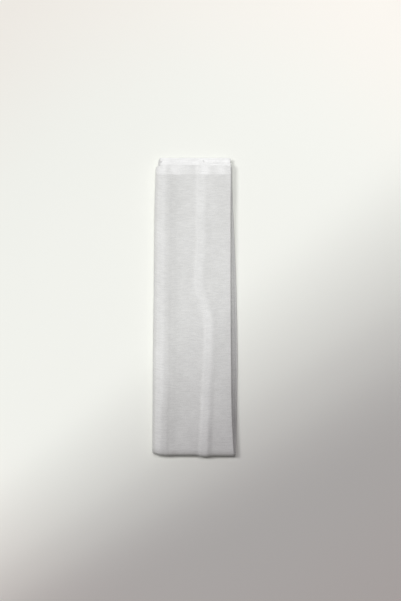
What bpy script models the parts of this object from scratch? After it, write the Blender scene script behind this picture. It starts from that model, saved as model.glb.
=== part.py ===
"""A plain square bandana, hemmed all round, folded into a strip and doubled over, lying flat.

The cloth is one piece, so it is one solid. Each wall stands for two plies pressed together: four
walls make the strip, and the strip doubled over at its main fold makes eight.
X runs across the strip, Y along it with the open hemmed end at +Y, and Z up from the table.
"""

import math

import bmesh
import bpy

# Driving dimensions, in metres
CLOTH_SIDE = 0.559  # side of the square laid out flat
STRIP_WIDTH = 0.0704  # folded strip at the main fold
SKEW = 0.0055  # how far the under half comes out to the right at the main fold
WALL = 0.0010  # two plies pressed together
PLY_GAP = 0.00015  # air between neighbouring walls
HEM_WIDTH = 0.0090  # turned hem, at the open end and on the inner edge
HEM_GAIN = 0.00008  # what the turned hem adds to each wall
END_STAGGER = 0.0094  # the outermost ply ends this much short, as it goes further round the main fold
STAGGER_RUN = 0.0600  # stretch over which the plies shift by that, from the hemmed end
NOTCH_DEPTH = 0.0032  # how far the left edge stands in, past the end of the outermost ply
NOTCH_RUN = 0.0200  # stretch across the strip over which that dies out
HEM_SLOPE = 0.0012  # length of the step from the hem down to the plain cloth
CORNER_WIDTH = 0.0115  # slanting corner at the left of the main fold
CORNER_DEPTH = 0.0047
CORNER_RUN = 0.0190  # stretch over which the slanting corner dies out along the pack
RIDGE_HEIGHT = 0.00110  # the inner hem showing through the upper plies
EDGE_DROOP = 0.0006  # sag of the left edge where it hangs over the under half
DROOP_RUN = 0.0240  # stretch over which that sag starts, from the main fold

# Edges of the two halves, from the hemmed end to the main fold.
# along is a share of the pack's length, the outer edges are shares of the outer reach, and the
# upper half's right edge is a share of the inner reach.
OUTLINE = (
    # along, upper left, under right, upper right
    (0.000, 0.955, 0.925, 1.020),
    (0.045, 0.966, 0.932, 1.025),
    (0.155, 0.990, 0.944, 1.015),
    (0.290, 0.995, 0.967, 1.007),
    (0.425, 0.999, 0.984, 1.001),
    (0.560, 1.000, 0.996, 0.999),
    (0.695, 1.000, 1.000, 0.996),
    (0.825, 0.992, 0.996, 0.995),
    (1.000, 0.980, 0.984, 1.012),
)

# Line of the inner hem's ridge, halfway up its left flank: share of the pack's length, share of
# the strip's width from the pack's middle line.
RIDGE_LINE = (
    (0.000, 0.018),
    (0.450, 0.013),
    (0.545, 0.105),
    (0.600, 0.115),
    (0.700, 0.102),
    (0.850, 0.076),
    (1.000, 0.050),
)

# Lengthwise creases of the upper face. Those on the left are placed by shares of the strip's
# width from the left edge, those at the ridge by shares of the hem's width from its line.
# Heights are shares of the ridge's height.
LEFT_CREASES = (
    # name, place, height
    ("lip", 0.125, 1.15),
    ("valley", 0.300, 0.00),
    ("plateau", 0.430, 0.10),
)
RIDGE_CREASES = (
    ("foot", -0.25, 0.25),
    ("crest", 0.25, 0.80),
    ("inner edge", 0.62, 1.10),
    ("groove", 1.02, -0.60),
    ("right plateau", 1.60, -0.45),
)
RIGHT_HEIGHT = -0.45  # height at the right fold, as a share of the ridge's height

# The walls of one half, from the middle plane outwards, and how much of the creases' height
# each of their faces takes.
WALLS = (
    # name, inner face, outer face
    ("fourth", 0.0, 0.0),
    ("third", 0.4, 0.8),
    ("second", 1.0, 1.0),
    ("first", 1.0, 1.0),
)

UPPER_STEPS = 18  # stretches between the hem and the main fold, upper half
UNDER_STEPS = 7  # and under half, which is plain
FOLD_STEPS = 8  # stretches round the main fold
SMALL_ARC = 4  # stretches round an inner lengthwise fold
LARGE_ARC = 6  # stretches round the outer lengthwise fold

# Worked out from the driving dimensions
PACK_LENGTH = CLOTH_SIDE / 2
OUTER_REACH = (STRIP_WIDTH + SKEW) / 2
INNER_REACH = (STRIP_WIDTH - SKEW) / 2
HIGHEST_CREASE = max(height for _, _, height in LEFT_CREASES + RIDGE_CREASES)
FOLD_BULGE = RIDGE_HEIGHT * HIGHEST_CREASE / 2  # it stands out this far round the main fold
HEMMED_END = (PACK_LENGTH + FOLD_BULGE) / 2
FOLDED_END = HEMMED_END - PACK_LENGTH
HEM_FOOT = HEMMED_END - HEM_WIDTH - HEM_SLOPE  # where the step from the hem reaches the plain cloth
OUTERMOST_END = HEMMED_END - END_STAGGER


def clamp(value):
    return min(max(value, 0.0), 1.0)


def read_table(table, along, column=1):
    """The value of a table's column at a share of the pack's length, straight between its rows."""
    along = clamp(along)
    for before, after in zip(table, table[1:]):
        if along <= after[0]:
            share = (along - before[0]) / (after[0] - before[0])
            return before[column] + share * (after[column] - before[column])
    return table[-1][column]


def hem_share(y):
    """1 in the turned hem, 0 in the plain cloth, and the slope between."""
    return clamp((y - HEM_FOOT) / HEM_SLOPE)


def wall_height(y):
    return WALL + HEM_GAIN * hem_share(y)


def half_height(y):
    """Height of one half of the pack, which is also the height of the middle plane."""
    return len(WALLS) * (wall_height(y) + PLY_GAP) - PLY_GAP / 2


MAIN_FOLD_Y = FOLDED_END + half_height(FOLDED_END)  # centre of the main fold's turn


def along_pack(y):
    return (HEMMED_END - y) / PACK_LENGTH


def edges(y, turned):
    """Left and right edge at this y, from the upper half (0) round the fold to the under half (1)."""
    along = along_pack(y)
    upper_left = -OUTER_REACH * read_table(OUTLINE, along, 1)
    upper_right = INNER_REACH * read_table(OUTLINE, along, 3)
    under_left = -INNER_REACH
    under_right = OUTER_REACH * read_table(OUTLINE, along, 2)
    left = upper_left + turned * (under_left - upper_left)
    right = upper_right + turned * (under_right - upper_right)
    return left, right


def columns(y, turned):
    """Places across the strip with the crease height at each, from the left fold to the right."""
    left, right = edges(y, turned)
    height = RIDGE_HEIGHT * (1 - turned)
    ridge = STRIP_WIDTH * read_table(RIDGE_LINE, along_pack(y))
    pitch = wall_height(y) + PLY_GAP
    large_radius = (len(WALLS) * pitch - PLY_GAP) / 2
    small_radius = pitch - PLY_GAP / 2
    found = [(left + large_radius, 0.0)]
    for _, place, share in LEFT_CREASES:
        found.append((left + STRIP_WIDTH * place, height * share))
    for _, place, share in RIDGE_CREASES:
        found.append((ridge + HEM_WIDTH * place, height * share))
    found.append((right - small_radius, height * RIGHT_HEIGHT))
    return found


def arc(centre, inner_radius, outer_radius, start, end, steps):
    """Points between the ends of a lengthwise fold, as pairs on its inner and outer face.

    The centre is a place across, a height and the creases' share of that height.
    """
    pairs = []
    for step in range(1, steps):
        angle = math.radians(start + (end - start) * step / steps)
        across, up = math.cos(angle), math.sin(angle)
        pairs.append(
            tuple((centre[0] + radius * across, centre[1] + radius * up, centre[2])
                  for radius in (inner_radius, outer_radius))
        )
    return pairs


def section(y, turned):
    """The folded strip cut across: pairs of points on the two faces of the cloth.

    It starts at the inner hemmed edge, goes left along the third wall, right along the second,
    left along the first, round the outer fold and right along the fourth. Each point is a place
    across, a height above the middle plane and the creases' share of that height.
    """
    wall = wall_height(y)
    places = columns(y, turned)
    pitch = wall + PLY_GAP
    hemmed_edge = 1 + len(LEFT_CREASES) + [name for name, *_ in RIDGE_CREASES].index("inner edge")
    runs = []
    for row, (name, inner, outer) in enumerate(WALLS):
        base = PLY_GAP / 2 + pitch * row
        part = places[:hemmed_edge + 1] if name == "third" else places
        runs.append([((x, base + lift * inner, lift * inner),
                      (x, base + wall + lift * outer, lift * outer)) for x, lift in part])
    fourth, third, second, first = runs
    left_centre = (places[0][0], 2 * pitch, 0.0)
    right_centre = (places[-1][0], 3 * pitch + places[-1][1], places[-1][1])

    pairs = [(high, low) for low, high in reversed(third)]
    pairs += arc(left_centre, PLY_GAP / 2, PLY_GAP / 2 + wall, 270, 90, SMALL_ARC)
    pairs += second
    pairs += [(outer, inner) for inner, outer in
              arc(right_centre, PLY_GAP / 2, PLY_GAP / 2 + wall, -90, 90, SMALL_ARC)]
    pairs += [(high, low) for low, high in reversed(first)]
    pairs += [(outer, inner) for inner, outer in
              arc(left_centre, pitch + PLY_GAP / 2, pitch + PLY_GAP / 2 + wall, 90, 270, LARGE_ARC)]
    return pairs + fourth


def corner_shift(x, y):
    """How far the slanting corner draws the cloth back at the left of the main fold."""
    slant = clamp((CORNER_WIDTH - OUTER_REACH - x) / CORNER_WIDTH)
    fade = 1 - clamp((y - MAIN_FOLD_Y) / CORNER_RUN)
    return CORNER_DEPTH * slant * fade


def droop(x, y):
    """How far the upper half sags where nothing lies under its left edge."""
    overhang = clamp((-INNER_REACH - x) / SKEW)
    fade = clamp((y - MAIN_FOLD_Y) / DROOP_RUN)
    return EDGE_DROOP * overhang * fade


def stagger(height, y):
    """How far a flat ply at this height above the middle plane draws back from the hemmed end."""
    share = clamp((y - HEMMED_END + STAGGER_RUN) / STAGGER_RUN)
    fade = share * share * (3 - 2 * share)
    innermost = PLY_GAP / 2
    return END_STAGGER * fade * (height - innermost) / (half_height(y) - innermost)


def notch_shift(x, y):
    """How far the upper half stands in at the left, past the end of the outermost ply."""
    left = edges(y, 0)[0]
    across = clamp((left + NOTCH_RUN - x) / NOTCH_RUN)
    return NOTCH_DEPTH * across * clamp((y - OUTERMOST_END) / HEM_SLOPE)


def stations():
    """Where the strip is cut, from the upper hemmed end round the main fold to the under one.

    Each is a place along the pack and how far the strip has turned over there, in degrees.
    """
    hem = [HEMMED_END, OUTERMOST_END + HEM_SLOPE, OUTERMOST_END, HEMMED_END - HEM_WIDTH]
    hem.sort(reverse=True)
    plain = MAIN_FOLD_Y - HEM_FOOT
    upper = hem + [HEM_FOOT + plain * step / UPPER_STEPS for step in range(UPPER_STEPS)]
    under = hem + [HEM_FOOT + plain * step / UNDER_STEPS for step in range(UNDER_STEPS)]
    turn = [(MAIN_FOLD_Y, 180 * step / FOLD_STEPS) for step in range(FOLD_STEPS + 1)]
    return [(y, 0) for y in upper] + turn + [(y, 180) for y in reversed(under)]


def place(point, y, degrees):
    """A point of a section in the pack: x, y and z."""
    x, height, lift = point
    angle = math.radians(degrees)
    middle = half_height(y)
    placed_y = y - height * math.sin(angle) - stagger(height - lift, y)
    placed_z = middle + height * math.cos(angle)
    if degrees == 0:
        placed_z -= droop(x, y)
        x += notch_shift(x, placed_y)
    return x, placed_y + corner_shift(x, placed_y), placed_z


def cloth_mesh():
    """The cloth's two faces joined round their rims."""
    shape = bmesh.new()
    rows = []
    for y, degrees in stations():
        pairs = section(y, degrees / 180)
        rows.append([[shape.verts.new(place(point, y, degrees)) for point in pair] for pair in pairs])
    for row, following in zip(rows, rows[1:]):
        for step in range(len(row) - 1):
            for face in (0, 1):
                shape.faces.new((row[step][face], row[step + 1][face],
                                 following[step + 1][face], following[step][face]))
        for rim in (0, -1):
            shape.faces.new((row[rim][0], row[rim][1], following[rim][1], following[rim][0]))
    for row in (rows[0], rows[-1]):
        for pair, following in zip(row, row[1:]):
            shape.faces.new((pair[0], pair[1], following[1], following[0]))
    bmesh.ops.triangulate(shape, faces=shape.faces)
    bmesh.ops.recalc_face_normals(shape, faces=shape.faces)
    mesh = bpy.data.meshes.new("folded_cloth")
    shape.to_mesh(mesh)
    shape.free()
    return mesh


def cotton():
    """White plain-weave cotton."""
    material = bpy.data.materials.new("white_cotton")
    material.use_nodes = True
    shader = material.node_tree.nodes["Principled BSDF"]
    shader.inputs["Base Color"].default_value = (0.78, 0.78, 0.77, 1.0)
    shader.inputs["Roughness"].default_value = 0.95
    shader.inputs["Metallic"].default_value = 0.0
    return material


def main():
    for old in list(bpy.data.objects):
        bpy.data.objects.remove(old, do_unlink=True)
    cloth = bpy.data.objects.new("folded_cloth", cloth_mesh())
    cloth.data.materials.append(cotton())
    cloth.data.shade_smooth()
    cloth.data.set_sharp_from_angle(angle=math.radians(40))
    bpy.context.scene.collection.objects.link(cloth)


if __name__ == "__main__":
    main()
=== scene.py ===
"""A folded white cotton bandana on a pale table.

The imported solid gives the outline. Here the real sheet takes its place: one thin square cloth,
folded three times lengthwise and once across, with its turned hems and their stitches.
Lengths are in metres. X runs across the strip, Y along it with the open hemmed end at +Y, Z up.
"""
import math

import bpy
import numpy as np
from bpy.props import FloatProperty, FloatVectorProperty, PointerProperty
from mathutils import Matrix, Vector, noise


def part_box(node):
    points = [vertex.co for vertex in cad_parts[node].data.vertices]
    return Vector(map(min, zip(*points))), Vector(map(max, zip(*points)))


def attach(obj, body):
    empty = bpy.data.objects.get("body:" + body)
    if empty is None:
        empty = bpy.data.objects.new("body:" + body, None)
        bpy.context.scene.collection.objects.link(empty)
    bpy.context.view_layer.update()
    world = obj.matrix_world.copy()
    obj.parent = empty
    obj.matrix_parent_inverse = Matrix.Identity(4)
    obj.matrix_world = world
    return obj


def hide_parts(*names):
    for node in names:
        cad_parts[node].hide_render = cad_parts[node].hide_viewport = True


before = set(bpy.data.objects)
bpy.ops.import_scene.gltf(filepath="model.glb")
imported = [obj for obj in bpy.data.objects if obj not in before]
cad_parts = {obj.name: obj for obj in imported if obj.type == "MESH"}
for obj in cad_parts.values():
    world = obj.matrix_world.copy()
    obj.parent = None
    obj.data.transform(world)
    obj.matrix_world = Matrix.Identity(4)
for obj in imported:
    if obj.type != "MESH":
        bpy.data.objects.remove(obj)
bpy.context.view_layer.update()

bl_info = {
    "name": "Folded Bandana",
    "version": (1, 0, 0),
    "blender": (4, 5, 0),
    "location": "3D View > Sidebar > Bandana",
    "description": "Makes a folded cotton bandana with hems and stitches, and a studio stage for it",
    "category": "Add Mesh",
}

BODY = "root"
PACKED_CLOTH = "folded_cloth"
CLOTH = "folded_bandana"
STITCHES = "hem_stitches"
LOW, HIGH = (Vector(corner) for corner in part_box(PACKED_CLOTH))
RIDGE = 0.0011  # the inner hem showing through the upper plies
LIP = 1.15  # height of the raised left part, as a share of the ridge's height
HEM_LOFT = 0.00064  # what the hems add to the pack's height

# Edges of the two halves, from the hemmed end to the main fold. along is a share of the pack's
# length. The upper left and under right edges are shares of the strip's outer reach from the pack's
# middle line, and the upper right one of its inner reach.
OUTLINE = (
    # along, upper left, under right, upper right
    (0.000, 0.955, 0.902, 1.020),
    (0.045, 0.962, 0.906, 1.025),
    (0.155, 0.977, 0.917, 1.015),
    (0.290, 0.980, 0.953, 1.007),
    (0.425, 0.980, 0.981, 1.001),
    (0.560, 0.981, 0.994, 0.999),
    (0.695, 0.984, 0.997, 0.998),
    (0.825, 0.982, 0.979, 1.005),
    (0.900, 0.981, 0.967, 1.017),
    (1.000, 0.978, 0.950, 1.058),
)

# Line of the inner hem's ridge, halfway up its left flank: share of the pack's length, share of
# the strip's width from the pack's middle line, how strongly the creases show there, and how far
# the cloth falls back to the right of the ridge.
RIDGE_LINE = (
    # along, across, strength, fall
    (0.000, 0.018, 0.75, 0.25),
    (0.300, 0.013, 0.80, 0.25),
    (0.475, 0.015, 0.80, 0.35),
    (0.535, 0.095, 0.85, 0.40),
    (0.580, 0.113, 0.95, 0.38),
    (0.700, 0.102, 1.05, 0.30),
    (0.850, 0.076, 1.15, 0.50),
    (1.000, 0.048, 1.20, 0.78),
)

# Lengthwise creases of the upper face. The first ones are placed by shares of the strip's width
# from the left edge, the second by shares of the hem's width from the ridge line. Heights are
# shares of the ridge's height. White is the cloth's whiteness there: partly the layers below
# whitening it, and partly painted light on the raised lip and the ridge and painted shade in the
# valley and the groove beside them.
LEFT_CREASES = (
    # place, height, white
    (0.060, 0.70, 0.25),
    (0.125, LIP, 0.34),
    (0.175, 0.85, 0.12),
    (0.235, 0.28, 0.00),
    (0.300, 0.00, 0.02),
    (0.430, 0.10, 0.14),
)
RIDGE_CREASES = (
    (-0.12, 0.14, 0.16),
    (0.20, 0.85, 0.38),
    (0.70, 1.10, 0.38),
    (1.28, -0.50, 0.09),
    (1.85, -0.45, 0.15),
)
VALLEY = 0.300  # place of the valley right of the lip
TAPER_START = 0.72  # share of the pack's length at which the left creases start to close up
CREASE_INSET = 0.0015  # distance of the first and the last place from the strip's edges
RIDGE_EDGE = 2  # row of RIDGE_CREASES that is the inner hem's edge
RIGHT_HEIGHT = -0.45  # height at the right edge, as a share of the ridge's height
PLAIN_WHITE = 0.16  # whiteness of the plain cloth
EDGE_PAINTED_SHADE = -0.15  # painted shade on the rounded left edge: its whiteness, below that of the plain cloth
FOLD_PAINTED_SHADE = 0.72  # painted shade on the main fold's face: how much less white the cloth is made as it turns round
INNER_HEM_WHITE = 0.84  # what the hems of the inner plies add to the whiteness
LEAST_WHITE = -0.6  # below 0 the cloth is darker than the plain cotton colour

# What the outermost hem adds to the whiteness, at shares of the upper half's width. The patches are
# partly the hem's extra layers and partly painted light and shade in the bands of the creases.
HEM_WHITES = (
    # across, white
    (0.000, 0.34),
    (0.086, 0.47),
    (0.165, 0.31),
    (0.245, 0.67),
    (0.325, 0.50),
    (0.410, 0.30),
    (0.500, 0.21),
    (0.565, 0.27),
    (0.660, 0.77),
    (0.760, 0.37),
    (0.880, 0.77),
    (0.960, 0.31),
    (1.000, 0.30),
)
INNER_HEM_PLACE = 0.70  # where the inner hemmed edges lie, as a share of the hem's width

# The cloth's way across one half of the pack, from one inner hemmed edge to the other. Between
# two rows it turns round a fold. Level 0 is next to the middle plane and 7 is the outermost.
RUNS = (
    # level, from, to, columns
    (3, "inner hem", "left", 14),
    (4, "left", "right", 20),
    (7, "right", "left", 74),
    (0, "left", "first fold", 22),
    (1, "first fold", "left", 18),
    (6, "left", "right", 20),
    (5, "right", "left", 18),
    (2, "left", "inner hem", 14),
)
OUTERMOST = 7
CREASE_SHARE = (0.0, 0.0, 0.4, 0.8, 1.0, 1.0, 1.0, 1.0)  # of the creases' height, at each level
LEFT_TURN = 3.5  # radius of the widest fold at the left edge, in steps from ply to ply
RIGHT_TURN = 1.5  # and at the right edge
FIRST_FOLD_SHORT = 0.0006  # how far the first fold lies inside the right edge in the upper half
UNDER_FOLD_SHORT = 0.0016  # and how much further in the under half

# Stretches over which a shape starts or dies out, in metres.
HEM_BORDER = 0.0020
NOTCH_BORDER = 0.0012
STEP_BORDER = 0.0030
STEP_RUN = 0.0080
SINK_START = 0.0100
SEAM_HALF_WIDTH = 0.0009
STEP_LEVEL = 5.5  # the ply ends above this level take part in the step

# Rows of the cloth along the strip. The hem's rows reach PLAIN_START from the hemmed end, and the
# closer ones at the main fold start NEAR_FOLD before it.
PLAIN_START = 0.0190
NEAR_FOLD = 0.0160
HEM_ROWS = 37
UPPER_ROWS = 62
NEAR_ROWS = 9
FOLD_ROWS = 17
UNDER_ROWS = 44
UNDER_HEM_SKIP = 3  # the under half's hem has one row for so many of the upper half's

# How often each uneven thing changes in a metre, across and along, and its layer of the noise.
WANDER_RATE = (45, 9)  # along a crease, and from one crease to the next
WANDER_LAYER = 3.0
PATCH_RATE = (60, 26)
PATCH_LAYER = 5.0
BROAD_RATE = (40, 22)
BROAD_PLY_STEP = 0.3  # from one ply's layer of broad waves to the next ply's
FINE_RATE = (150, 85)
FINE_PLY_STEP = 0.4
FINE_SHIFT = 7.0  # keeps the fine waves apart from the broad ones
FINE_SHARE = 0.45  # height of the fine waves, as a share of the broad ones
HEM_CALM = 0.6  # how much lower the waves are in the stiffer hem

STITCH_HALF = 0.36  # half of a stitch's thread, as a share of the stitch with its gap
THREAD_ARCH = 0.9  # how far a stitch arches out, as a share of the thread's radius
THREAD_SUNK = 0.3  # how deep its ends lie in the cloth, as a share of the same
THREAD_BLUNT = 0.12  # least thickness at its ends, before the power below
THREAD_SWELL = 0.6  # less than 1 keeps the thread thick for most of its length

# Shares of three noises and of the weave in the cotton's tone. Rates are for each metre, and
# reliefs are in metres.
STREAK_TONE = 0.40
CREPE_TONE = 0.45
MOTTLE_TONE = 0.15
WEAVE_TONE = 0.04
STREAK_STRETCH = 5  # a streak's length over its width
MOTTLE_RATE = 110.0
WEAVE_RELIEF = 0.00008
TWIST_RATE = 2600.0
TWIST_RELIEF = 0.00005
TWIST_PAINTED_SHADE = 0.88  # painted shade in the grooves of the twist, as a share of the thread's colour

# The stage, in metres, but for the tones and for the camera's sensor, which is in millimetres.
TABLE_REACH = 6.0
TABLE_CLOUD = (0.985, 0.985, 0.985, 1.0)  # tone of the table's faint clouds
PAINTED_LIGHT_LIMITS = (0.91, 1.09)  # least and most that the painted light makes of the table's colour
SCRIM_START = -0.5  # where the scrim starts along its edge
SCRIM_REACH = 1.2
SENSOR_WIDTH = 36.0


def eased(share):
    """From 0 to 1 with a soft start and end."""
    share = np.clip(share, 0.0, 1.0)
    return share * share * (3 - 2 * share)


def on_curve(table, along, column):
    """A table's column at a share of the pack's length, on a smooth curve through its rows."""
    places = np.array([row[0] for row in table])
    values = np.array([row[column] for row in table])
    slopes = np.gradient(values, places)
    along = float(np.clip(along, 0.0, 1.0))
    row = int(np.clip(np.searchsorted(places, along) - 1, 0, len(places) - 2))
    span = places[row + 1] - places[row]
    t = (along - places[row]) / span
    return ((2 * t**3 - 3 * t**2 + 1) * values[row] + (t**3 - 2 * t**2 + t) * span * slopes[row]
            + (3 * t**2 - 2 * t**3) * values[row + 1] + (t**3 - t**2) * span * slopes[row + 1])


def noise_at(x, y, rate, layer, shift=0.0):
    """Smooth noise from -1 to 1, with its own pattern in each layer."""
    return noise.noise(Vector((x * rate[0] + shift, y * rate[1], layer)))


def between(x, places, heights):
    """Heights at x, easing from each place to the next."""
    row = np.clip(np.searchsorted(places, x) - 1, 0, len(places) - 2)
    places, heights = np.asarray(places), np.asarray(heights)
    share = eased((x - places[row]) / (places[row + 1] - places[row]))
    return heights[row] + share * (heights[row + 1] - heights[row])


def length(name, description, default):
    """A length that the sidebar shows in the scene's unit."""
    return FloatProperty(name=name, description=description, default=default, min=0.0,
                         precision=5, subtype="DISTANCE", unit="LENGTH")


def factor(name, description, default, least, most):
    """A plain number without a unit."""
    return FloatProperty(name=name, description=description, default=default, min=least, max=most,
                         subtype="FACTOR")


def colour(name, description, default):
    return FloatVectorProperty(name=name, description=description, default=default, min=0.0,
                               max=1.0, size=3, subtype="COLOR")


def place_of(name, description, default):
    return FloatVectorProperty(name=name, description=description, default=default, size=3,
                               precision=4, subtype="TRANSLATION", unit="LENGTH")


def angle(name, description, degrees):
    return FloatProperty(name=name, description=description, default=math.radians(degrees),
                         min=-math.pi, max=math.pi, subtype="ANGLE", unit="ROTATION")


def power(name, description, default):
    return FloatProperty(name=name, description=description, default=default, min=0.0,
                         subtype="POWER", unit="POWER")


class BandanaSize(bpy.types.PropertyGroup):
    """Sizes of the cloth and of its folds."""

    cloth_side: length("Cloth Side", "Side of the square laid out flat", 0.559)
    strip_width: length("Strip Width", "Width of the folded strip", 0.0704)
    ply: length("Ply", "Thickness of the cloth", 0.00030)
    hem: length("Hem", "Thickness of the turned hem", 0.00050)
    hem_width: length("Hem Width", "Width of the turned hem", 0.0090)
    height: length("Height", "Height of the plain part of the pack",
                   HIGH.z - RIDGE * LIP - HEM_LOFT)
    hem_loft: length("Hem Loft", "What the hems add to that height", HEM_LOFT)
    ridge: length("Ridge", "Height of the inner hem's ridge on the upper face", RIDGE)
    end_stagger: length("End Stagger", "How much the outermost ply ends short", 0.0115)
    stagger_run: length("Stagger Run", "Stretch over which the ply ends shift", 0.0600)
    step: length("Step", "How much shorter the outermost plies are right of the ridge", 0.0018)
    step_place: length("Step Place", "Distance of that from the pack's middle line", 0.0105)
    notch_depth: length("Notch Depth", "How far the inner plies stand in at the left end", 0.0023)
    notch_run: length("Notch Run", "Stretch across over which that dies out", 0.0200)
    corner_width: length("Corner Width", "Width of the slanting corner", 0.0140)
    corner_depth: length("Corner Depth", "Depth of the slanting corner", 0.0019)
    corner_run: length("Corner Run", "Stretch over which the slant dies out", 0.0190)
    fold_bulge: length("Fold Bulge", "How far the main fold stands out right of the middle", 0.0006)
    bulge_run: length("Bulge Run", "Stretch across over which it comes out", 0.0075)
    droop: length("Edge Droop", "Sag of the left edge where nothing lies under it", 0.0006)
    droop_run: length("Droop Run", "Stretch over which that sag starts", 0.0240)
    fold_lean: length("Fold Lean", "How far the top of the main fold leans back", 0.0002)
    lean_run: length("Lean Run", "Stretch over which that starts", 0.0120)
    fold_top: factor("Fold Top", "Upper half of the main fold: 1 is round, less is squarer",
                     0.36, 0.2, 1.2)
    fold_under: factor("Fold Under", "The same for the lower half of the main fold", 1.30, 0.3, 2.0)
    crease_taper: factor("Crease Taper", "How much the left creases close up towards the main fold",
                         0.40, 0.0, 0.6)
    wander: length("Wander", "How far the creases stray sideways", 0.0010)
    edge_sink: factor("Edge Sink", "How far the under half thins at the right", 0.26, 0.0, 0.4)
    hem_rise: length("Hem Rise", "How far the stitches lift the lowest hem off the table", 0.00022)
    waviness: length("Waviness", "Height of the plies' soft waves", 0.00020)
    patchiness: factor("Patchiness", "Uneven whitening by the layers below", 0.12, 0.0, 0.5)
    seam_dip: length("Seam Dip", "How deep the stitches draw the hem in", 0.00009)
    seam_place: length("Seam Place", "Stitch line's distance from the end of the ply", 0.0060)
    stitch: length("Stitch", "Length of one stitch with its gap", 0.0026)
    thread: length("Thread", "Diameter of the sewing thread", 0.00026)


class BandanaLook(bpy.types.PropertyGroup):
    """Colours and surface of the cloth, the thread and the table."""

    cotton: colour("Cotton", "Thin cotton over its own folds", (0.655, 0.655, 0.643))
    # The backed colour is also the far end of the painted light on the lip and the ridge.
    backed_and_painted_light: colour("Backed Cotton", "Cotton where a hem lies under it", (0.89, 0.89, 0.884))
    thread: colour("Thread", "Sewing thread", (0.80, 0.80, 0.795))
    table: colour("Table", "The pale table", (0.862, 0.870, 0.823))
    table_edge: colour("Table Edge", "The table's warmer tone away from the cloth",
                       (0.893, 0.858, 0.806))
    table_inner: length("Table Inner", "Distance from the cloth at which that tone starts", 0.18)
    table_outer: length("Table Outer", "Distance at which it is full", 0.36)
    # The next two paint light on the table: brighter to the right and darker to the left, more so
    # further up.
    painted_light_drift: factor("Table Drift", "Change of the table's tone along X, for each metre",
                        0.17, -1.0, 1.0)
    painted_light_twist: factor("Table Twist", "Change of that drift along Y, for each metre",
                        1.15, -3.0, 3.0)
    weave: length("Weave", "Distance between two neighbouring threads", 0.00045)
    streak: length("Streak", "Length of the thicker yarns that show as cross streaks", 0.0065)
    crepe: length("Crepe", "Size of the cloth's fine crinkles", 0.0008)
    relief: length("Crepe Relief", "Height of streaks and crinkles", 0.00050)
    contrast: factor("Contrast", "How much streaks and crinkles vary in colour", 0.76, 0.0, 1.0)


class BandanaStage(bpy.types.PropertyGroup):
    """Lights, the scrim that dims the lower right, and the camera."""

    overhead: place_of("Overhead Light", "Place of the large light overhead", (-0.023, 0.055, 2.287))
    overhead_size: length("Overhead Size", "Side of that light", 0.92)
    overhead_power: power("Overhead Power", "Power of that light", 30.1)
    key: place_of("Key Light", "Place of the light from the upper left", (-4.210, 0.407, 6.790))
    key_size: length("Key Size", "Side of that light", 2.40)
    key_power: power("Key Power", "Power of that light", 268.0)
    ambient: FloatProperty(name="Ambient", description="Strength of the even light from all round",
                           default=0.158, min=0.0)
    scrim_distance: length("Scrim Distance", "From the pack's middle to the scrim's edge", 0.0478)
    scrim_angle: angle("Scrim Angle", "Direction in which the scrim lies", -53.1)
    scrim_height: length("Scrim Height", "Height of the scrim above the table", 0.243)
    scrim_rise: angle("Scrim Rise", "Slope of the scrim along its edge", 14.5)
    scrim_clear: colour("Scrim Clear", "Shares of the light that it lets through",
                        (0.413, 0.391, 0.406))
    camera_target: place_of("Camera Target", "Place that the camera looks at", (0.00495, 0.0030, 0.0))
    camera_distance: length("Camera Distance", "From the camera to that place", 1.290)
    camera_tilt: angle("Camera Tilt", "How far the camera leans back from straight above", 16.0)
    lens: FloatProperty(name="Lens", description="Focal length in millimetres", default=85.41, min=1.0)


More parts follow.
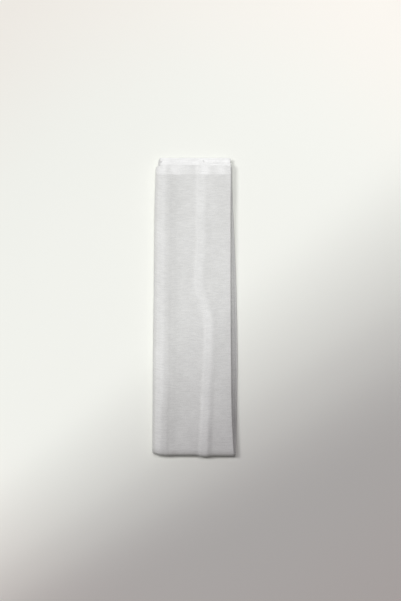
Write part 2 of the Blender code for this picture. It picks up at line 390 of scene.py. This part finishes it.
class FoldedStrip:
    """Where the plies of the folded pack lie, worked out from the sizes in the sidebar."""

    def __init__(self, size):
        self.size = size
        self.outer_reach = -LOW.x
        self.inner_reach = size.strip_width - self.outer_reach
        self.length = size.cloth_side / 2
        self.hemmed_end = HIGH.y
        self.hem_foot = self.hemmed_end - size.hem_width
        self.folded_end = self.hemmed_end - self.length
        self.main_fold = self.folded_end + self.half_height(self.folded_end)
        self.outermost_end = self.hemmed_end - size.end_stagger

    def along(self, y):
        """Share of the pack's length from the hemmed end."""
        return (self.hemmed_end - y) / self.length

    def hem_share(self, y):
        """1 in the turned hem, 0 in the plain cloth."""
        return eased((y - self.hem_foot) / HEM_BORDER + 0.5)

    def half_height(self, y):
        return (self.size.height + self.size.hem_loft * self.hem_share(y)) / 2

    def ply(self, y):
        return self.size.ply + (self.size.hem - self.size.ply) * self.hem_share(y)

    def levels(self, y):
        """Height of the innermost ply above the middle plane, and the step to the next."""
        innermost = self.ply(y)
        return innermost, (self.half_height(y) - self.ply(y) / 2 - innermost) / OUTERMOST

    def edges(self, y, turned):
        """Left and right edge, from the upper half (0) round the main fold to the under half (1)."""
        along = self.along(y)
        upper_left = -self.outer_reach * on_curve(OUTLINE, along, 1)
        upper_right = self.inner_reach * on_curve(OUTLINE, along, 3)
        under_right = self.outer_reach * on_curve(OUTLINE, along, 2)
        left = upper_left + eased(2 * turned - 1) * (-self.inner_reach - upper_left)
        right = upper_right + turned * (under_right - upper_right)
        return left, right

    def wander(self, y, seed):
        """How far a crease strays sideways at this place along it."""
        return self.size.wander * noise_at(y, seed, WANDER_RATE, WANDER_LAYER)

    def ridge_line(self, y):
        return self.size.strip_width * on_curve(RIDGE_LINE, self.along(y), 1) + self.wander(y, 1.0)

    def creases(self, y, turned):
        """Places across the strip, and the creases' height and whiteness at each. The whiteness holds
        painted light on the lip and the ridge, and painted shade in the valley, in the groove and at the
        left edge.
        """
        left, right = self.edges(y, turned)
        line = self.ridge_line(y)
        closing = eased((self.along(y) - TAPER_START) / (1 - TAPER_START))
        taper = self.size.crease_taper * closing
        shares = [place * (1 - taper * max(0.0, 1 - place / VALLEY)) for place, *_ in LEFT_CREASES]
        places = [left + CREASE_INSET]
        places += [left + self.size.strip_width * share + self.wander(y, share) for share in shares]
        places += [line + self.size.hem_width * place for place, *_ in RIDGE_CREASES]
        places += [right - CREASE_INSET]
        edge = RIDGE_CREASES[RIDGE_EDGE][1]
        fall = on_curve(RIDGE_LINE, self.along(y), 3)
        heights = [0.0] + [height for _, height, _ in LEFT_CREASES]
        heights += [height for _, height, _ in RIDGE_CREASES[:RIDGE_EDGE + 1]]
        after = [height for _, height, _ in RIDGE_CREASES[RIDGE_EDGE + 1:]] + [RIGHT_HEIGHT]
        heights += [edge + (height - edge) * fall for height in after]
        whites = [EDGE_PAINTED_SHADE] + [white for *_, white in LEFT_CREASES + RIDGE_CREASES] + [PLAIN_WHITE]
        strength = on_curve(RIDGE_LINE, self.along(y), 2) * (1 - turned)
        heights = [height * self.size.ridge * strength for height in heights]
        whites = [PLAIN_WHITE + (white - PLAIN_WHITE) * strength for white in whites]
        return places, heights, whites

    def section(self, y, turned):
        """The cloth's middle line across one half: rows of place, flat height, lift and level."""
        left, right = self.edges(y, turned)
        innermost, pitch = self.levels(y)
        places, heights, _ = self.creases(y, turned)
        short = FIRST_FOLD_SHORT + UNDER_FOLD_SHORT * turned
        ends = {
            "left": left + LEFT_TURN * pitch + self.size.ply / 2,
            "right": right - RIGHT_TURN * pitch - self.size.ply / 2,
            "first fold": right - short - pitch / 2,
            "inner hem": self.ridge_line(y) + self.size.hem_width * INNER_HEM_PLACE,
        }
        line = []
        for row, (level, start, end, columns) in enumerate(RUNS):
            x = np.linspace(ends[start], ends[end], columns + 1)
            lift = between(x, places, heights) * CREASE_SHARE[level]
            flat = np.full(len(x), innermost + pitch * level)
            line.append((x, flat, lift, np.full(len(x), float(level))))
            if row + 1 == len(RUNS):
                break
            following = RUNS[row + 1][0]
            steps = 4 + abs(following - level)
            turn = np.pi * np.arange(1, steps) / steps
            radius = pitch * abs(following - level) / 2
            side = -1.0 if end == "left" else 1.0
            rise = 1.0 if following > level else -1.0
            centre = innermost + pitch * (level + following) / 2
            line.append((ends[end] + side * radius * np.sin(turn),
                         centre - rise * radius * np.cos(turn),
                         np.full(steps - 1, lift[-1]),
                         level + (following - level) * np.arange(1, steps) / steps))
        return np.concatenate(line, axis=1)

    def stagger(self, height, y):
        """How far a ply draws back from the hemmed end, as it goes further round the main fold."""
        run = self.size.stagger_run
        share = eased((y - self.hemmed_end + run) / run)
        return self.size.end_stagger * share * height / self.half_height(y)

    def notch_shift(self, x, y):
        """How far the upper half stands in at the left, past the end of the outermost ply."""
        left = self.edges(self.hemmed_end, 0)[0]
        across = eased((left + self.size.notch_run - x) / self.size.notch_run)
        return self.size.notch_depth * across * eased((y - self.outermost_end) / NOTCH_BORDER)

    def corner_shift(self, x, y):
        """How far the main fold is drawn back by its slanting left corner, less its bulge."""
        size = self.size
        slant = np.clip((size.corner_width - self.outer_reach - x) / size.corner_width, 0, 1)
        bulge = size.fold_bulge * eased(x / size.bulge_run)
        fade = 1 - eased((y - self.main_fold) / size.corner_run)
        return (size.corner_depth * slant - bulge) * fade

    def droop(self, x, y):
        """How far the left edge of the upper half sags past the under half."""
        skew = self.outer_reach - self.inner_reach
        overhang = eased((-self.inner_reach - x) / skew)
        return self.size.droop * overhang * eased((y - self.main_fold) / self.size.droop_run)

    def lean(self, y, z):
        """How far the upper plies stay behind at the main fold, where the lower ones bulge out."""
        fade = 1 - eased((y - self.main_fold) / self.size.lean_run)
        return self.size.fold_lean * fade * eased(z / self.size.height)

    def sink(self, x, z, turned):
        """How far the under half thins towards its right edge, where it's pressed flatter."""
        skew = self.outer_reach - self.inner_reach
        share = eased((x - self.inner_reach + SINK_START) / (skew + SINK_START))
        return self.size.edge_sink * share * turned * z

    def turn(self, degrees):
        """Steps back and up round the main fold, on a curve squarer above and sharper below."""
        bend = self.size.fold_top if degrees < 90 else self.size.fold_under
        back = abs(math.sin(math.radians(degrees)))
        up = math.cos(math.radians(degrees))
        return back**bend, math.copysign(abs(up)**bend, up)

    def hem_white(self, x, y, level):
        """How much whiter the hems are: evenly on the inner plies, and in patches on the outermost,
        which also hold painted light and shade.
        """
        left, right = self.edges(y, 0)
        places, whites = zip(*HEM_WHITES)
        patches = between((x - left) / (right - left), places, whites)
        in_ply = level % 1 == 0
        inner = in_ply & (level < OUTERMOST - 1)
        return self.hem_share(y) * np.where(inner, INNER_HEM_WHITE, patches)

    def row(self, y, degrees):
        """One row of the cloth's middle surface, with its levels and whiteness."""
        turned = degrees / 180
        x, flat, lift, level = self.section(y, turned)
        places, _, whites = self.creases(y, turned)
        white = between(x, places, whites)
        back, up = self.turn(degrees)
        # Painted shade: the cloth is made less white where it turns round the main fold.
        white = white + self.hem_white(x, y, level) - FOLD_PAINTED_SHADE * back
        height = flat + lift
        placed_y = y - height * back - self.stagger(flat, y)
        placed_z = self.half_height(y) + height * up
        if degrees == 0:
            placed_z = placed_z - self.droop(x, y)
            x = x + self.notch_shift(x, placed_y)
            share = eased((x - self.size.step_place) / STEP_BORDER) * eased(level - STEP_LEVEL)
            placed_y = placed_y - self.size.step * share * eased((y - self.hem_foot) / STEP_RUN)
        above = np.maximum(placed_z - self.ply(y) / 2, 0)
        placed_z = placed_z - self.sink(x, above, turned)
        placed_z = placed_z + turned * self.size.hem_rise * self.hem_share(y)
        placed_y = placed_y + self.corner_shift(x, placed_y) + self.lean(placed_y, placed_z)
        return np.stack([x, placed_y, placed_z], 1), level, white

    def stations(self):
        """Where the strip is cut across: place along it and how far it has turned over."""
        plain = self.hemmed_end - PLAIN_START
        closer = self.main_fold + NEAR_FOLD
        hem = np.linspace(self.hemmed_end, plain, HEM_ROWS)[:-1]
        upper = np.linspace(plain, closer, UPPER_ROWS)[:-1]
        near = np.linspace(closer, self.main_fold, NEAR_ROWS)[:-1]
        turn = np.linspace(0, 180, FOLD_ROWS)
        under = np.linspace(self.main_fold, plain, UNDER_ROWS)[1:-1]
        found = [(y, 0.0) for y in (*hem, *upper, *near)]
        found += [(self.main_fold, degrees) for degrees in turn]
        return found + [(y, 180.0) for y in (*under, *hem[::-UNDER_HEM_SKIP])]


class ClothSurface:
    """The middle surface of the whole folded cloth as a grid, with what varies over it."""

    def __init__(self, strip):
        stations = strip.stations()
        rows = [strip.row(y, degrees) for y, degrees in stations]
        self.points = np.array([row[0] for row in rows])
        self.level = rows[0][1]
        self.white = np.array([row[2] for row in rows])
        self.white = np.clip(self.white + self.patches(strip), LEAST_WHITE, 1.0)
        self.upper = np.array([degrees == 0 for _, degrees in stations])
        nominal = np.array([y for y, _ in stations])
        self.hem = np.array([float(strip.hem_share(y)) for y in nominal])
        self.from_end = strip.hemmed_end - nominal
        self.points[..., 2] += self.waves(strip)
        self.normals = self.normals_of(self.points)
        self.flat = self.flat_places()
        self.ply = strip.size.ply + (strip.size.hem - strip.size.ply) * self.hem

    def patches(self, strip):
        """Soft uneven patches in how much the layers below whiten the cloth."""
        return strip.size.patchiness * np.array([
            [noise_at(point[0], point[1], PATCH_RATE, PATCH_LAYER) for point in line]
            for line in self.points])

    def waves(self, strip):
        """Soft waves that differ a little from ply to ply and fade at the table, less the seam's dip."""
        wave = np.zeros(self.points.shape[:2])
        for row, line in enumerate(self.points):
            for column, point in enumerate(line):
                x, y = float(point[0]), float(point[1])
                level = float(self.level[column])
                broad = noise_at(x, y, BROAD_RATE, level * BROAD_PLY_STEP)
                fine = noise_at(x, y, FINE_RATE, level * FINE_PLY_STEP, FINE_SHIFT)
                wave[row, column] = broad + FINE_SHARE * fine
        grow = eased(self.points[..., 2] / HIGH.z) * (1 - HEM_CALM * self.hem[:, None])
        from_seam = (self.from_end - strip.size.seam_place) / SEAM_HALF_WIDTH
        seam = np.exp(-from_seam**2) * self.upper
        dip = seam[:, None] * (self.level == OUTERMOST) * strip.size.seam_dip
        return strip.size.waviness * wave * grow - dip

    @staticmethod
    def normals_of(points):
        """Unit normals of the grid at each of its points."""
        across = np.gradient(points, axis=1)
        along = np.gradient(points, axis=0)
        normals = np.cross(across, along)
        return normals / np.linalg.norm(normals, axis=2, keepdims=True)

    def flat_places(self):
        """Where each point lies on the flat cloth, in metres."""
        across = np.linalg.norm(np.diff(self.points, axis=1), axis=2)
        across = np.concatenate([np.zeros((len(across), 1)), np.cumsum(across, axis=1)], axis=1)
        middle = int(np.argmax(self.level == OUTERMOST))
        across += across[:, middle].mean() - across[:, middle:middle + 1]
        along = np.linalg.norm(np.diff(self.points, axis=0), axis=2)
        along = np.concatenate([np.zeros((1, along.shape[1])), np.cumsum(along, axis=0)], axis=0)
        along += along[-1].mean() / 2 - along[-1:] / 2
        return np.stack([across, along], 2)

    def outermost(self, from_end, turned):
        """The row of one half that lies this far from the hemmed end, and its outermost columns."""
        rows = np.flatnonzero(self.upper != turned)
        row = rows[np.argmin(np.abs(self.from_end[rows] - from_end))]
        columns = np.flatnonzero(self.level == OUTERMOST)
        return row, columns


def new_mesh(name, points, faces):
    mesh = bpy.data.meshes.new(name)
    mesh.from_pydata(points, [], faces)
    mesh.validate()
    mesh.shade_smooth()
    return mesh


def link(name, data):
    thing = bpy.data.objects.new(name, data)
    bpy.context.scene.collection.objects.link(thing)
    return thing


def sheet_faces(rows, columns):
    """Faces of a closed thin sheet: its two faces and a rounded rim with a middle line."""
    size = rows * columns
    cell = np.arange(size).reshape(rows, columns)
    near = np.stack([cell[:-1, :-1], cell[:-1, 1:], cell[1:, 1:], cell[1:, :-1]], -1).reshape(-1, 4)
    far = near[:, ::-1] + size
    ring = np.concatenate([cell[0, :-1], cell[:-1, -1], cell[-1, :0:-1], cell[:0:-1, 0]])
    following = np.roll(ring, -1)
    middle = 2 * size + np.arange(len(ring))
    middle_following = np.roll(middle, -1)
    first = np.stack([following, ring, middle, middle_following], -1)
    second = np.stack([middle_following, middle, ring + size, following + size], -1)
    return np.concatenate([near, far, first, second]), ring


def cloth_mesh(surface):
    """The closed mesh of the cloth, with its flat places as a UV map."""
    rows, columns = surface.points.shape[:2]
    half = surface.ply[:, None, None] / 2 * surface.normals
    faces, ring = sheet_faces(rows, columns)
    near = (surface.points + half).reshape(-1, 3)
    far = (surface.points - half).reshape(-1, 3)
    middle = surface.points.reshape(-1, 3)[ring]
    outward = rim_directions(surface, ring)
    rim = middle + outward * np.repeat(surface.ply, columns)[ring][:, None] / 2
    points = np.concatenate([near, far, rim])
    mesh = new_mesh(CLOTH, points, faces.tolist())
    flat = surface.flat.reshape(-1, 2)
    flat = np.concatenate([flat, flat, flat[ring]])
    corner = np.empty(len(mesh.loops), dtype=np.int32)
    mesh.loops.foreach_get("vertex_index", corner)
    mesh.uv_layers.new(name="flat cloth").uv.foreach_set("vector", flat[corner].ravel())
    # The whiteness attribute holds the hems below and random patches, with painted light on the lip and
    # ridge and painted shade in the valleys, at the left edge and round the main fold.
    backing_and_painted_light = surface.white.ravel()
    backing_and_painted_light = np.concatenate([backing_and_painted_light, backing_and_painted_light, backing_and_painted_light[ring]])
    mesh.attributes.new("backing_and_painted_light", "FLOAT", "POINT").data.foreach_set("value", backing_and_painted_light)
    return mesh


def rim_directions(surface, ring):
    """Unit steps out of the sheet at its rim."""
    rows, columns = surface.points.shape[:2]
    row, column = np.divmod(ring, columns)
    inward_row = np.clip(row, 1, rows - 2)
    inward_column = np.clip(column, 1, columns - 2)
    step = surface.points[row, column] - surface.points[inward_row, inward_column]
    return step / np.linalg.norm(step, axis=1, keepdims=True)


def stitch_mesh(surface, size):
    """The stitches of the two hems that lie outside, one short thread capsule each."""
    points, faces = [], []
    for turned in (False, True):
        row, columns = surface.outermost(size.seam_place, turned)
        line = surface.points[row, columns]
        normals = surface.normals[row, columns]
        lift = surface.ply[row] / 2
        side = math.copysign(1.0, normals[:, 2].mean()) * (-1.0 if turned else 1.0)
        distance = np.concatenate([[0], np.cumsum(np.linalg.norm(np.diff(line, axis=0), axis=1))])
        count = int(distance[-1] / size.stitch)
        for step in range(count):
            middle = (step + 0.5) * size.stitch
            ends = [middle - STITCH_HALF * size.stitch, middle + STITCH_HALF * size.stitch]
            place = [Vector([np.interp(at, distance, line[:, axis]) for axis in range(3)])
                     for at in ends]
            normal = Vector([np.interp(middle, distance, normals[:, axis]) for axis in range(3)])
            normal = normal.normalized() * side
            place = [point + normal * lift for point in place]
            add_capsule(points, faces, place, normal, size.thread / 2)
    return new_mesh(STITCHES, points, faces)


def add_capsule(points, faces, ends, normal, radius, rings=6, sides=8):
    """A thread that arches out of the cloth between its two ends."""
    along = ends[1] - ends[0]
    across = along.cross(normal).normalized()
    start = len(points)
    for ring in range(rings + 1):
        turn = math.pi * ring / rings
        wide = radius * max(math.sin(turn), THREAD_BLUNT) ** THREAD_SWELL
        centre = ends[0] + along * (1 - math.cos(turn)) / 2
        centre = centre + normal * radius * (THREAD_ARCH * math.sin(turn) - THREAD_SUNK)
        for side in range(sides):
            way = 2 * math.pi * side / sides
            points.append(centre + (across * math.cos(way) + normal * math.sin(way)) * wide)
    for ring in range(rings):
        for side in range(sides):
            a = start + ring * sides + side
            b = start + ring * sides + (side + 1) % sides
            faces.append((a, b, b + sides, a + sides))
    faces.append(tuple(start + side for side in reversed(range(sides))))
    faces.append(tuple(start + rings * sides + side for side in range(sides)))


class Nodes:
    """A short way to write a material's nodes."""

    def __init__(self, name):
        self.material = bpy.data.materials.new(name)
        self.material.use_nodes = True
        self.tree = self.material.node_tree
        self.shader = self.tree.nodes["Principled BSDF"]

    def add(self, kind, inputs=(), **settings):
        node = self.tree.nodes.new(kind)
        for name, value in settings.items():
            setattr(node, name, value)
        self.feed(node, dict(inputs))
        return node

    def feed(self, node, inputs):
        """Set a node's inputs, or link those whose value is another node's output."""
        for name, value in inputs.items():
            if isinstance(value, bpy.types.NodeSocket):
                self.tree.links.new(value, node.inputs[name])
            else:
                node.inputs[name].default_value = value

    def math(self, operation, first, second=0.0, third=0.0):
        return self.add("ShaderNodeMath", {0: first, 1: second, 2: third},
                        operation=operation).outputs[0]

    def mix(self, share, first, second, blend="MIX"):
        return self.add("ShaderNodeMix", {0: share, 6: first, 7: second}, data_type="RGBA",
                        blend_type=blend, clamp_factor=False).outputs[2]

    def scaled(self, colour, share):
        return self.add("ShaderNodeVectorMath", {0: colour, 1: share},
                        operation="MULTIPLY").outputs[0]


def cotton_material(look):
    """Matt white plain-weave cotton with slubs and crepe, paler where more layers back it, and with the
    painted light and shade that the whiteness attribute carries.
    """
    nodes = Nodes("white cotton")
    flat = nodes.add("ShaderNodeUVMap", uv_map="flat cloth").outputs[0]
    places = nodes.add("ShaderNodeSeparateXYZ", {0: flat}).outputs
    backing_and_painted_light = nodes.add("ShaderNodeAttribute", attribute_name="backing_and_painted_light").outputs["Fac"]

    streak_place = nodes.add("ShaderNodeMapping", {
        "Vector": flat,
        "Scale": (1 / look.streak, STREAK_STRETCH / look.streak, 1.0)}).outputs[0]
    streaks = nodes.add("ShaderNodeTexNoise", {
        "Vector": streak_place, "Scale": 1.0, "Detail": 3.0, "Roughness": 0.6}).outputs["Fac"]
    crepe = nodes.add("ShaderNodeTexNoise", {
        "Vector": flat, "Scale": 1 / look.crepe, "Detail": 2.0, "Roughness": 0.55}).outputs["Fac"]
    mottle = nodes.add("ShaderNodeTexNoise", {
        "Vector": flat, "Scale": MOTTLE_RATE, "Detail": 2.0}).outputs["Fac"]
    turn = math.pi / look.weave
    warp = nodes.math("SINE", nodes.math("MULTIPLY", places[0], turn))
    weft = nodes.math("SINE", nodes.math("MULTIPLY", places[1], turn))
    weave = nodes.math("MULTIPLY_ADD", nodes.math("MULTIPLY", warp, weft), 0.5, 0.5)

    grain = nodes.math("MULTIPLY", crepe, CREPE_TONE)
    grain = nodes.math("MULTIPLY_ADD", streaks, STREAK_TONE, grain)
    grain = nodes.math("MULTIPLY_ADD", mottle, MOTTLE_TONE, grain)
    # Paler where hems back the cloth, and painted light and shade from the whiteness attribute.
    colour = nodes.mix(backing_and_painted_light, (*look.cotton, 1.0), (*look.backed_and_painted_light, 1.0))
    spread = nodes.math("MULTIPLY_ADD", grain, look.contrast, 1 - 0.5 * look.contrast)
    spread = nodes.math("SUBTRACT", spread, WEAVE_TONE / 2)
    spread = nodes.math("MULTIPLY_ADD", weave, WEAVE_TONE, spread)

    relief = nodes.math("MULTIPLY_ADD", streaks, 0.6, nodes.math("MULTIPLY", crepe, 0.4))
    crinkled = nodes.add("ShaderNodeBump", {
        "Strength": 0.8, "Distance": look.relief, "Height": relief}).outputs[0]
    woven = nodes.add("ShaderNodeBump", {
        "Strength": 0.5, "Distance": WEAVE_RELIEF, "Height": weave, "Normal": crinkled}).outputs[0]
    nodes.feed(nodes.shader, {
        "Base Color": nodes.scaled(colour, spread),
        "Roughness": nodes.math("MULTIPLY_ADD", streaks, 0.12, 0.82),
        "Normal": woven,
        "Sheen Weight": 0.12,
        "Sheen Roughness": 0.5,
        "Specular IOR Level": 0.25,
    })
    return nodes.material


def thread_material(look):
    """White sewing thread with its twist, and painted shade in the twist's grooves."""
    nodes = Nodes("sewing thread")
    place = nodes.add("ShaderNodeTexCoord").outputs["Object"]
    twist = nodes.add("ShaderNodeTexWave", {
        "Vector": place, "Scale": TWIST_RATE, "Distortion": 1.0},
        bands_direction="DIAGONAL").outputs["Fac"]
    # Painted shade: the thread's colour is darker in the low grooves of its twist.
    dark = [value * TWIST_PAINTED_SHADE for value in look.thread] + [1.0]
    bump = nodes.add("ShaderNodeBump", {
        "Strength": 0.5, "Distance": TWIST_RELIEF, "Height": twist}).outputs[0]
    nodes.feed(nodes.shader, {
        "Base Color": nodes.mix(twist, dark, (*look.thread, 1.0)),
        "Normal": bump,
        "Roughness": 0.6,
        "Sheen Weight": 0.1,
    })
    return nodes.material


def table_material(look):
    """A smooth pale table top, warmer away from the cloth, with painted light that makes it brighter to
    the right and darker to the left, more so further up.
    """
    nodes = Nodes("pale table")
    place = nodes.add("ShaderNodeTexCoord").outputs["Object"]
    cloud = nodes.add("ShaderNodeTexNoise", {
        "Vector": place, "Scale": 6.0, "Detail": 3.0}).outputs["Fac"]
    distance = nodes.add("ShaderNodeVectorMath", {0: place}, operation="LENGTH").outputs["Value"]
    edge = nodes.add("ShaderNodeMapRange", {
        "Value": distance, "From Min": look.table_inner, "From Max": look.table_outer,
        "To Min": 0.0, "To Max": 1.0}, interpolation_type="SMOOTHSTEP").outputs[0]
    colour = nodes.mix(edge, (*look.table, 1.0), (*look.table_edge, 1.0))
    dark = nodes.mix(1.0, colour, TABLE_CLOUD, blend="MULTIPLY")
    colour = nodes.mix(cloud, dark, colour)
    x, y, _ = nodes.add("ShaderNodeSeparateXYZ", {0: place}).outputs
    # Painted light: the table's colour is scaled up to the right and down to the left, more so further
    # up.
    slope = nodes.math("MULTIPLY_ADD", y, look.painted_light_twist, look.painted_light_drift)
    tone = nodes.math("MULTIPLY_ADD", x, slope, 1.0)
    tone = nodes.add("ShaderNodeClamp", {
        0: tone, "Min": PAINTED_LIGHT_LIMITS[0], "Max": PAINTED_LIGHT_LIMITS[1]}).outputs[0]
    nodes.feed(nodes.shader, {
        "Base Color": nodes.scaled(colour, tone),
        "Roughness": 0.7,
        "Specular IOR Level": 0.2,
    })
    return nodes.material


class BANDANA_OT_cloth(bpy.types.Operator):
    """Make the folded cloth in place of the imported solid"""

    bl_idname = "bandana.cloth"
    bl_label = "Folded Cloth"

    def execute(self, context):
        size, look = context.scene.bandana_size, context.scene.bandana_look
        surface = ClothSurface(FoldedStrip(size))
        cloth = link(CLOTH, cloth_mesh(surface))
        cloth.data.materials.append(cotton_material(look))
        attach(cloth, BODY)
        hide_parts(PACKED_CLOTH)
        return {"FINISHED"}


class BANDANA_OT_stitches(bpy.types.Operator):
    """Make the stitches along the two hems that lie outside"""

    bl_idname = "bandana.stitches"
    bl_label = "Hem Stitches"

    def execute(self, context):
        size, look = context.scene.bandana_size, context.scene.bandana_look
        stitches = link(STITCHES, stitch_mesh(ClothSurface(FoldedStrip(size)), size))
        stitches.data.materials.append(thread_material(look))
        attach(stitches, BODY)
        return {"FINISHED"}


def add_soft_light(name, place, side, watts):
    """A square soft light that faces the middle of the pack."""
    data = bpy.data.lights.new(name, "AREA")
    data.shape = "SQUARE"
    data.size = side
    data.energy = watts
    light = link(name, data)
    light.location = place
    light.rotation_euler = Vector(place).to_track_quat("Z", "Y").to_euler()


def add_scrim(stage):
    """A half-clear net low over the lower right of the table, out of the camera's sight."""
    turn = Matrix.Rotation(stage.scrim_angle, 3, "Z")
    rise = math.tan(stage.scrim_rise)
    corners = []
    for reach, step in ((0.0, SCRIM_START), (SCRIM_REACH, SCRIM_START),
                        (SCRIM_REACH, SCRIM_REACH), (0.0, SCRIM_REACH)):
        corner = turn @ Vector((stage.scrim_distance + reach, step, 0.0))
        corner.z = stage.scrim_height + rise * step
        corners.append(corner)
    scrim = link("scrim", new_mesh("scrim", corners, [(0, 1, 2, 3)]))
    material = bpy.data.materials.new("clear net")
    material.use_nodes = True
    tree = material.node_tree
    tree.nodes.remove(tree.nodes["Principled BSDF"])
    clear = tree.nodes.new("ShaderNodeBsdfTransparent")
    clear.inputs["Color"].default_value = (*stage.scrim_clear, 1.0)
    tree.links.new(clear.outputs[0], tree.nodes["Material Output"].inputs["Surface"])
    scrim.data.materials.append(material)
    scrim.visible_camera = False


class BANDANA_OT_stage(bpy.types.Operator):
    """Make the table, the soft lights, the scrim and the camera"""

    bl_idname = "bandana.stage"
    bl_label = "Studio Stage"

    def execute(self, context):
        scene, stage = context.scene, context.scene.bandana_stage
        corners = [(TABLE_REACH * x, TABLE_REACH * y, 0)
                   for x, y in ((-1, -1), (1, -1), (1, 1), (-1, 1))]
        table = link("table", new_mesh("table", corners, [(0, 1, 2, 3)]))
        table.data.materials.append(table_material(scene.bandana_look))
        add_soft_light("overhead light", stage.overhead, stage.overhead_size, stage.overhead_power)
        add_soft_light("key light", stage.key, stage.key_size, stage.key_power)
        add_scrim(stage)
        world = bpy.data.worlds.new("even light")
        world.use_nodes = True
        background = world.node_tree.nodes["Background"]
        background.inputs["Color"].default_value = (1.0, 1.0, 1.0, 1.0)
        background.inputs["Strength"].default_value = stage.ambient
        scene.world = world
        scene.view_settings.view_transform = "Standard"
        data = bpy.data.cameras.new("camera")
        data.sensor_width = SENSOR_WIDTH
        data.lens = stage.lens
        camera = link("camera", data)
        back = Vector((0.0, -math.sin(stage.camera_tilt), math.cos(stage.camera_tilt)))
        camera.location = Vector(stage.camera_target) + back * stage.camera_distance
        camera.rotation_euler = (stage.camera_tilt, 0.0, 0.0)
        scene.camera = camera
        return {"FINISHED"}


class BANDANA_PT_panel(bpy.types.Panel):
    """Sizes, looks and operators of the folded bandana."""

    bl_idname = "BANDANA_PT_panel"
    bl_label = "Folded Bandana"
    bl_space_type = "VIEW_3D"
    bl_region_type = "UI"
    bl_category = "Bandana"

    def draw(self, context):
        layout = self.layout
        for operator in OPERATORS:
            layout.operator(operator.bl_idname)
        for group in (context.scene.bandana_size, context.scene.bandana_look,
                      context.scene.bandana_stage):
            box = layout.box()
            for name in group.bl_rna.properties.keys():
                if name not in ("rna_type", "name"):
                    box.prop(group, name)


GROUPS = {"bandana_size": BandanaSize, "bandana_look": BandanaLook, "bandana_stage": BandanaStage}
OPERATORS = (BANDANA_OT_stage, BANDANA_OT_stitches, BANDANA_OT_cloth)


def register():
    for kind in (*GROUPS.values(), *OPERATORS, BANDANA_PT_panel):
        bpy.utils.register_class(kind)
    for name, group in GROUPS.items():
        setattr(bpy.types.Scene, name, PointerProperty(type=group))


def unregister():
    for name in GROUPS:
        delattr(bpy.types.Scene, name)
    for kind in reversed((*GROUPS.values(), *OPERATORS, BANDANA_PT_panel)):
        bpy.utils.unregister_class(kind)


def main():
    register()
    bpy.ops.bandana.stage()
    bpy.ops.bandana.stitches()
    bpy.ops.bandana.cloth()
    bpy.context.view_layer.update()


if __name__ == "__main__":
    main()
